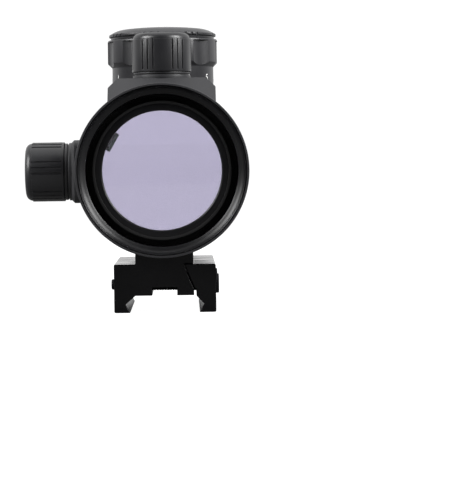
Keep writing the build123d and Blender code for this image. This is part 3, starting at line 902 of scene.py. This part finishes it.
glass_edge = front_glass_high.y - glass_curve + sqrt(glass_curve**2 - glass_aperture_r**2)
objective_ring_section = [
    (glass_aperture_r, glass_edge + 0.05),
    (glass_r, glass_edge + 0.05),
    (glass_r, glass_edge + 2.0),
    (glass_aperture_r + 0.2, glass_edge + 2.0),
    (glass_aperture_r, glass_edge + 1.8),
]
stand_in(
    lathe("objective_ring", objective_ring_section, fillet=0.06, segments=192), "objective_retainer", optics
)

# ---- Inner tube and the emitter's block -------------------------------------------------------------

led_angle = 150.0
led_start, led_end = 20.0, 28.0
led_half_width = 2.5
housing_inner_r = 14.9
housing_outer_r = 17.8
board_inner_r = 14.1
led_place = place((0, 0, 0), (cos(radians(led_angle)), 0, sin(radians(led_angle))), (0, 1, 0))


def led_block(name, half_width, inner_r, outer_r, start, end, rounding):
    """Small block on the emitter's radius, with softened edges."""
    corners = [(inner_r, -half_width), (outer_r, -half_width), (outer_r, half_width), (inner_r, half_width)]
    return prism(name, round_corners(corners, rounding), start, end, chamfer=rounding)


inner_section = [
    (inner_rear_r, inner_start),
    (inner_rear_r + inner_wall, inner_start),
    (inner_front_r + inner_wall, inner_end),
    (inner_front_r, inner_end),
]
sight_tube = moved(lathe("sight_tube", inner_section, fillet=0.12, segments=192), optics)
led_window = led_block("led_window", led_half_width + 0.1, 10, 19, led_start - 0.1, led_end + 1.6, 0.01)
combine(sight_tube, moved(led_window, led_place), "DIFFERENCE")
stand_in(sight_tube, "inner_tube")

# Fine thread that kills glare inside the tube, coarser than real so that it shows.
glare_pitch = 1.0
glare_start = led_end + 2.5
glare_turns = int((inner_end - 0.5 - glare_start) / glare_pitch)
cone = (inner_front_r - inner_rear_r) / (inner_end - inner_start)
glare_rear_r = inner_rear_r + cone * (glare_start - inner_start)
glare_front_r = glare_rear_r + cone * glare_turns * glare_pitch
glare_thread = wind_thread(
    "anti_glare_thread", "cell_black", glare_rear_r, glare_front_r, glare_start, glare_turns, glare_pitch, 0.1
)
finish_piece(glare_thread, optics, "inner_tube", "cell_black", crease=60)

led_body = led_block(
    "emitter_block", led_half_width, housing_inner_r, housing_outer_r, led_start, led_end, rounding=0.2
)
stand_in(led_body, "led_housing", led_place)
led_card = led_block(
    "emitter_card", led_half_width, board_inner_r, housing_inner_r, led_start, led_end + 1.5, rounding=0.08
)
stand_in(led_card, "led_board", led_place)

# ---- Elevation and windage turrets ------------------------------------------------------------------

run = 0.08                # radial running clearance
stub_r = 6.9
stub_thread_depth = 0.25
flange_r = 8.05
guide_r = 2.58
collar_r = 1.83
socket_r = 4.98           # where the adjuster's slotted disc turns
mouth_r = 5.9
cap_rounding = 1.9
cap_grip_top = cap_top - cap_rounding
cap_shoulder_r = cap_r - 0.25


def turret_base_section(seat):
    """Base with its pinched waist above the seat, threaded stub and the socket for the adjuster."""
    return [
        (guide_r, 20.5),
        (plug_r, 20.5),
        (plug_r, seat),
        (flange_r + 0.15, seat, 0.05),
        (flange_r + 0.15, seat + 0.9),
        (flange_r - 0.3, seat + 1.05, 0.05),
        (flange_r - 0.3, seat + 1.2, 0.05),
        (flange_r, seat + 1.35),
        (flange_r, cap_bottom - 0.1),
        (stub_r - stub_thread_depth, cap_bottom - 0.1, 0.1),
        (stub_r - stub_thread_depth, stub_top, 0.3),
        (mouth_r, stub_top, 0.15),
        (mouth_r, stub_top - 1.2),
        (socket_r, stub_top - 1.2),
        (socket_r, 30.65),
        (collar_r, 30.65),
        (collar_r, 28.6),
        (guide_r, 28.6),
    ]


def cap_section():
    """Hollow cap with a rounded crown and a small step where its grip begins."""
    crown = arc((cap_shoulder_r - cap_rounding, cap_grip_top), cap_rounding, 90, 0)
    return [
        (0, cap_top),
        *[(r, height, 0) for r, height in crown],
        (cap_r, cap_grip_top, 0.12),
        (cap_r, cap_bottom, 0.2),
        (7.7, cap_bottom, 0.1),
        (7.7, cap_bottom + 1.2),
        (stub_r + run, cap_bottom + 1.2),
        (stub_r + run, 35.8),
        (0, 35.8),
    ]


def turret(name, where, seat, first_group):
    base = lathe(f"{name}_stub", turret_base_section(seat), fillet=0.12)
    stand_in(base, f"{name}_turret_base", where)
    thread = wind_thread(
        f"{name}_stub_thread",
        "tube_black",
        stub_r - stub_thread_depth,
        stub_r - stub_thread_depth,
        cap_bottom + 1.1,
        5,
        1.0,
        stub_thread_depth - 0.02,
    )
    finish_piece(thread, where, "housing", "tube_black", crease=60)
    cap = lathe(f"{name}_cover", cap_section(), fillet=0.15)
    grip_length = cap_grip_top - cap_bottom
    cut_grooves(
        cap, "cap_black", groups=6, in_group=3, spacing=11.3, first=first_group,
        circle=cap_r + 0.04, radius=0.32, bottom=cap_bottom + 0.7, length=grip_length,
    )
    stand_in(cap, f"{name}_cap", where)


turret("elevation", elevation, saddle_top, -57.0)
turret("windage", windage, boss_face, -82.0)

# ---- Brightness dial and battery cap ----------------------------------------------------------------

hub_r = 12.08
clip_r = 12.98
knob_neck_r = 15.1
knob_neck_top = 30.65
knob_grip_bottom = 31.9
compartment_r = 10.3
compartment_bottom = 31.6
cell_thread_r = 13.2
cell_thread_bottom = 35.8
knob_lobes = 9
scallop_r = 9.0
scallop_depth = 1.0
first_scallop = -44.0
number_angle = 30.0
number_height = 2.9
number_bottom = 26.35

knob_section = [
    (hub_r, knob_bottom),
    (knob_neck_r, knob_bottom, 0.25),
    (knob_neck_r, knob_neck_top, 0.4),
    (knob_r, knob_grip_bottom, 0.4),
    (knob_r, knob_top, 0.6),
    (cell_thread_r, knob_top, 0.15),
    (cell_thread_r, cell_thread_bottom),
    (compartment_r, cell_thread_bottom),
    (compartment_r, compartment_bottom),
    (1.2, compartment_bottom),
    (1.2, 29.9),
    (hub_r, 29.9),
    (hub_r, 27.0),
    (clip_r, 27.0),
    (clip_r, 26.1),
    (hub_r, 26.1),
]
knob = lathe("dial_knob", knob_section, fillet=0.12, segments=180)
cut_grooves(
    knob, "dial_black", groups=knob_lobes, in_group=1, spacing=0, first=first_scallop,
    circle=knob_r - scallop_depth + scallop_r, radius=scallop_r,
    bottom=knob_neck_top, length=knob_top - 0.6 - knob_neck_top, sides=180,
)
stand_in(knob, "brightness_knob", dial)

for number in range(12):
    values = {
        "Number": number,
        "Angle": radians(-90 + number_angle * (number - 3)),
        "Radius": knob_neck_r,
        "Height": number_height,
        "Bottom": number_bottom,
        "Paint": 0.04,
        "Material": ink_finish,
    }
    name = f"dial_number_{number}"
    figure = run_tree(mesh_object(name, bpy.data.meshes.new(name)), dial_number, values)
    finish_piece(figure, dial, "brightness_dial", "index_white")

cell_cap_groove_top = 39.8
cell_cap_rim_top = 40.8
dome_edge = cell_cap_r - 0.6
dome_r = 105.0
shoulder_start = 12.0
shoulder_steps = 8
cap_thread_depth = 0.22
cap_core_r = cell_thread_r - run - cap_thread_depth
crown = dome(shoulder_start, dome_r, cell_cap_dome)
shoulder_slope = shoulder_start / sqrt(dome_r**2 - shoulder_start**2)
shoulder_width = dome_edge - shoulder_start
shoulder_drop = crown[0][1] - cell_cap_rim_top - shoulder_slope * shoulder_width
shoulder = []
for step in range(shoulder_steps, 0, -1):
    out = shoulder_width * step / shoulder_steps
    fall = shoulder_slope * out + shoulder_drop * (out / shoulder_width) ** 2
    shoulder.append((shoulder_start + out, crown[0][1] - fall, 0))
cell_cap_section = [
    *shoulder,
    *[(r, height, 0) for r, height in crown],
    (0, cell_cap_low.z),
    (cap_core_r, cell_cap_low.z + 0.2, 0.3),
    (cap_core_r, knob_top + 0.9),
    (14.55, knob_top + 0.9),
    (14.55, knob_top + 0.08),
    (cell_cap_r - 0.55, knob_top + 0.08),
    (cell_cap_r - 0.55, cell_cap_groove_top - 0.2),
    (cell_cap_r, cell_cap_groove_top),
    (cell_cap_r, cell_cap_rim_top - 0.35, 0.2),
]
cell_cap = lathe("cell_cover", cell_cap_section, fillet=0.12, segments=192)
cut_grooves(
    cell_cap, "cap_black", groups=8, in_group=3, spacing=7.3, first=-56.4,
    circle=cell_cap_r + 0.1, radius=0.42, bottom=cell_cap_groove_top - 0.1, length=1.2,
)
slot_half_length, slot_half_width = 7.5, 0.9
coin_slot_section = [
    *arc((slot_half_length - slot_half_width, 0), slot_half_width, -90, 90, steps=8),
    *arc((slot_half_width - slot_half_length, 0), slot_half_width, 90, 270, steps=8),
]
coin_slot = prism("coin_slot", coin_slot_section, cell_cap_dome - 1.4, cell_cap_dome + 1, chamfer=0.1)
combine(cell_cap, coin_slot, "DIFFERENCE")
stand_in(cell_cap, "battery_cap", dial)
cell_cap_thread = wind_thread(
    "cell_cover_thread", "cap_black", cap_core_r, cap_core_r, cell_cap_low.z + 0.6, 2, 1.0, cap_thread_depth
)
finish_piece(cell_cap_thread, dial, "battery_cap", "cap_black", crease=60)

# ---- Rail clamp -------------------------------------------------------------------------------------

stem_half_width = 8.2
block_half_width = 14.3
wing_top = -26.4
seat_z = -35.3
vee_apex = (11.05, -37.7)
lip_x = 9.75
foot_x = 8.3
channel_half_width = 3.5
channel_roof = -33.0
slant_top_x = 5.3
slant_bottom_x = 8.1
slant_bottom_z = -33.2
jaw_gap = 0.3
screw_r = 2.0
screw_root_r = 1.5
screw_pitch = 0.76        # of the ridge that shows in the channel
screw_thread_end = 8.0
screw_z = -32.6
screw_head_r = 2.8
screw_head_start = 12.9
screw_head_end = 15.5
screw_tip = -15.4

stem_tilt = degrees(asin(stem_half_width / tube_r))
base_section = [
    *[(x, z, 0) for x, z in arc((0, 0), tube_r, 270 - stem_tilt, 270 + stem_tilt)],
    (stem_half_width, wing_top, 0.3),
    (slant_top_x, wing_top),
    (slant_bottom_x, slant_bottom_z),
    (foot_x, slant_bottom_z - 0.3),
    (foot_x, seat_z),
    (channel_half_width, seat_z),
    (channel_half_width, channel_roof),
    (-channel_half_width, channel_roof),
    (-channel_half_width, seat_z),
    (-foot_x, seat_z),
    (-vee_apex[0], vee_apex[1]),
    (-lip_x, jaw_bottom),
    (-block_half_width, jaw_bottom, 0.5),
    (-block_half_width, wing_top, 0.4),
    (-stem_half_width, wing_top, 0.3),
]
base = prism("rail_base", round_corners(base_section, 0.12, steps=2), -base_high.y, -base_low.y)
moved(base, along_tube)
jaw_face = block_half_width + 0.2
jaw_section = [
    (slant_top_x + jaw_gap, wing_top - 0.1, 0.15),
    (jaw_face, wing_top - 0.1, 0.5),
    (jaw_face, jaw_bottom, 0.5),
    (lip_x, jaw_bottom),
    vee_apex,
    (foot_x + 0.65, -35.5),
    (foot_x + 0.65, slant_bottom_z - 0.35),
    (slant_bottom_x + jaw_gap, slant_bottom_z - 0.05),
]
jaw = prism("rail_jaw", round_corners(jaw_section, 0.15, steps=2), -jaw_high.y, -jaw_low.y)
moved(jaw, along_tube)
for name in ("rear", "front"):
    screw_low, screw_high = span(f"clamp_screw_{name}")
    screw_place = place((0, (screw_low.y + screw_high.y) / 2, screw_z), (0, 1, 0), (1, 0, 0))
    for solid, radius, bottom in (
        (base, screw_r + run, -20),
        (jaw, screw_r + run, 0),
        (jaw, screw_head_r + run, screw_head_start - 0.02),
    ):
        bit = lathe("bit", [(0, bottom), (radius, bottom), (radius, 20), (0, 20)], fillet=0, segments=64)
        combine(solid, moved(bit, screw_place), "DIFFERENCE")
    screw_section = [
        (0, screw_tip),
        (screw_root_r, screw_tip, 0.4),
        (screw_root_r, screw_thread_end),
        (screw_r, screw_thread_end + 0.4),
        (screw_r, screw_head_start),
        (screw_head_r, screw_head_start),
        (screw_head_r, screw_head_end, 0.3),
        (0, screw_head_end),
    ]
    screw = lathe(f"rail_screw_{name}", screw_section, fillet=0.1, segments=96)
    cut_grooves(
        screw, "black_steel", groups=24, in_group=1, spacing=0, first=0,
        circle=screw_head_r + 0.06, radius=0.16, bottom=screw_head_start + 0.3, length=1.9, sides=10,
    )
    hexagon = arc((0, 0), 1.6, 0, 300, steps=5)
    socket = prism("socket", hexagon, screw_head_end - 1.7, screw_head_end + 1, chamfer=0.1)
    combine(screw, socket, "DIFFERENCE")
    stand_in(screw, f"clamp_screw_{name}", screw_place)
    turns = int((screw_thread_end - screw_tip - 0.9) / screw_pitch)
    screw_ridge = wind_thread(
        f"rail_screw_thread_{name}", "black_steel", screw_root_r, screw_root_r,
        screw_tip + 0.9, turns, screw_pitch, screw_r - screw_root_r, steps=48,
    )
    finish_piece(screw_ridge, screw_place, f"clamp_screw_{name}", "black_steel", crease=60)
stand_in(base, "mount_base")
stand_in(jaw, "clamp_jaw")

# ---- Floor, light and camera ------------------------------------------------------------------------

floor_r = 0.7             # its far edge stays below what the eye sees through the tube
floor_shape = bmesh.new()
bmesh.ops.create_circle(floor_shape, cap_ends=True, radius=floor_r, segments=96)
floor = from_bmesh("floor", floor_shape)
floor.location.z = jaw_bottom * MM
floor_finish, floor_tree = new_material("white_paper_sweep")
floor_paths = add(floor_tree, "ShaderNodeLightPath").outputs
floor_seen = add(
    floor_tree,
    "ShaderNodeMath",
    {0: floor_paths["Is Camera Ray"], 1: floor_paths["Is Transmission Ray"]},
    operation="MAXIMUM",
)
# The sweep is lit from below: it looks white, and throws only a little of that on the object.
glow = add(floor_tree, "ShaderNodeMath", {0: floor_seen.outputs[0], 1: 1.0}, operation="MULTIPLY")
show(
    floor_tree,
    add(
        floor_tree,
        "ShaderNodeBsdfPrincipled",
        {"Base Color": linear("#6a6a6a"), "Roughness": 0.9, "Emission Color": linear("#ffffff"),
         "Emission Strength": glow.outputs[0]},
    ),
)
floor.data.materials.append(floor_finish)

scene = bpy.context.scene
scene.view_settings.view_transform = "Standard"
world = bpy.data.worlds.new("studio")
scene.world = world
world.use_nodes = True
sky = world.node_tree
sky.nodes.clear()
# The room is dark behind the eye and white beyond the object, where the sweep is.
looking = add(sky, "ShaderNodeSeparateXYZ", {0: add(sky, "ShaderNodeNewGeometry").outputs["Incoming"]})
room = add(
    sky,
    "ShaderNodeMapRange",
    {"Value": looking.outputs["Y"], "From Min": -0.6, "From Max": -0.05, "To Min": 1.0, "To Max": 0.02},
)
paths = add(sky, "ShaderNodeLightPath").outputs
seen = add(
    sky, "ShaderNodeMath", {0: paths["Is Camera Ray"], 1: paths["Is Transmission Ray"]}, operation="MAXIMUM"
)
level = add(
    sky,
    "ShaderNodeMix",
    {"Factor": seen.outputs[0], "A": room.outputs["Result"], "B": 1.05},
    data_type="FLOAT",
)
backdrop = add(sky, "ShaderNodeBackground", {"Color": linear("#ffffff"), "Strength": level.outputs["Result"]})
add(sky, "ShaderNodeOutputWorld", {"Surface": backdrop.outputs[0]})


def soft_box(name, spot, size, power):
    """Square soft light aimed at the middle of the tube."""
    light = bpy.data.lights.new(name, "AREA")
    light.size = size
    light.energy = power
    lamp = bpy.data.objects.new(name, light)
    scene.collection.objects.link(lamp)
    lamp.location = spot
    aim = Vector((0, tube_length / 2 * MM, 0)) - Vector(spot)
    lamp.rotation_euler = aim.to_track_quat("-Z", "Y").to_euler()
    lamp.visible_camera = False


soft_box("soft_box_left", (-0.95, -0.35, 0.6), 0.6, 18)
soft_box("soft_box_right", (0.95, -0.35, 0.6), 0.6, 23)
soft_box("soft_box_top", (0, 0.1, 1.2), 1.2, 6)

camera_distance = 0.570
camera_height = 0.00056
camera_roll = 0.85
camera_yaw = 0.65
camera_data = bpy.data.cameras.new("camera")
camera_data.lens = 152.4
camera_data.sensor_width = 36
camera_data.shift_x = 0.1258
camera_data.shift_y = -0.1653
camera_data.clip_start = 0.01
camera = bpy.data.objects.new("camera", camera_data)
scene.collection.objects.link(camera)
camera.matrix_world = (
    Matrix.Rotation(radians(camera_yaw), 4, "Z")
    @ Matrix.Translation((0, -camera_distance, camera_height))
    @ Matrix.Rotation(radians(camera_roll), 4, "Y")
    @ Matrix.Rotation(radians(90), 4, "X")
)
scene.camera = camera
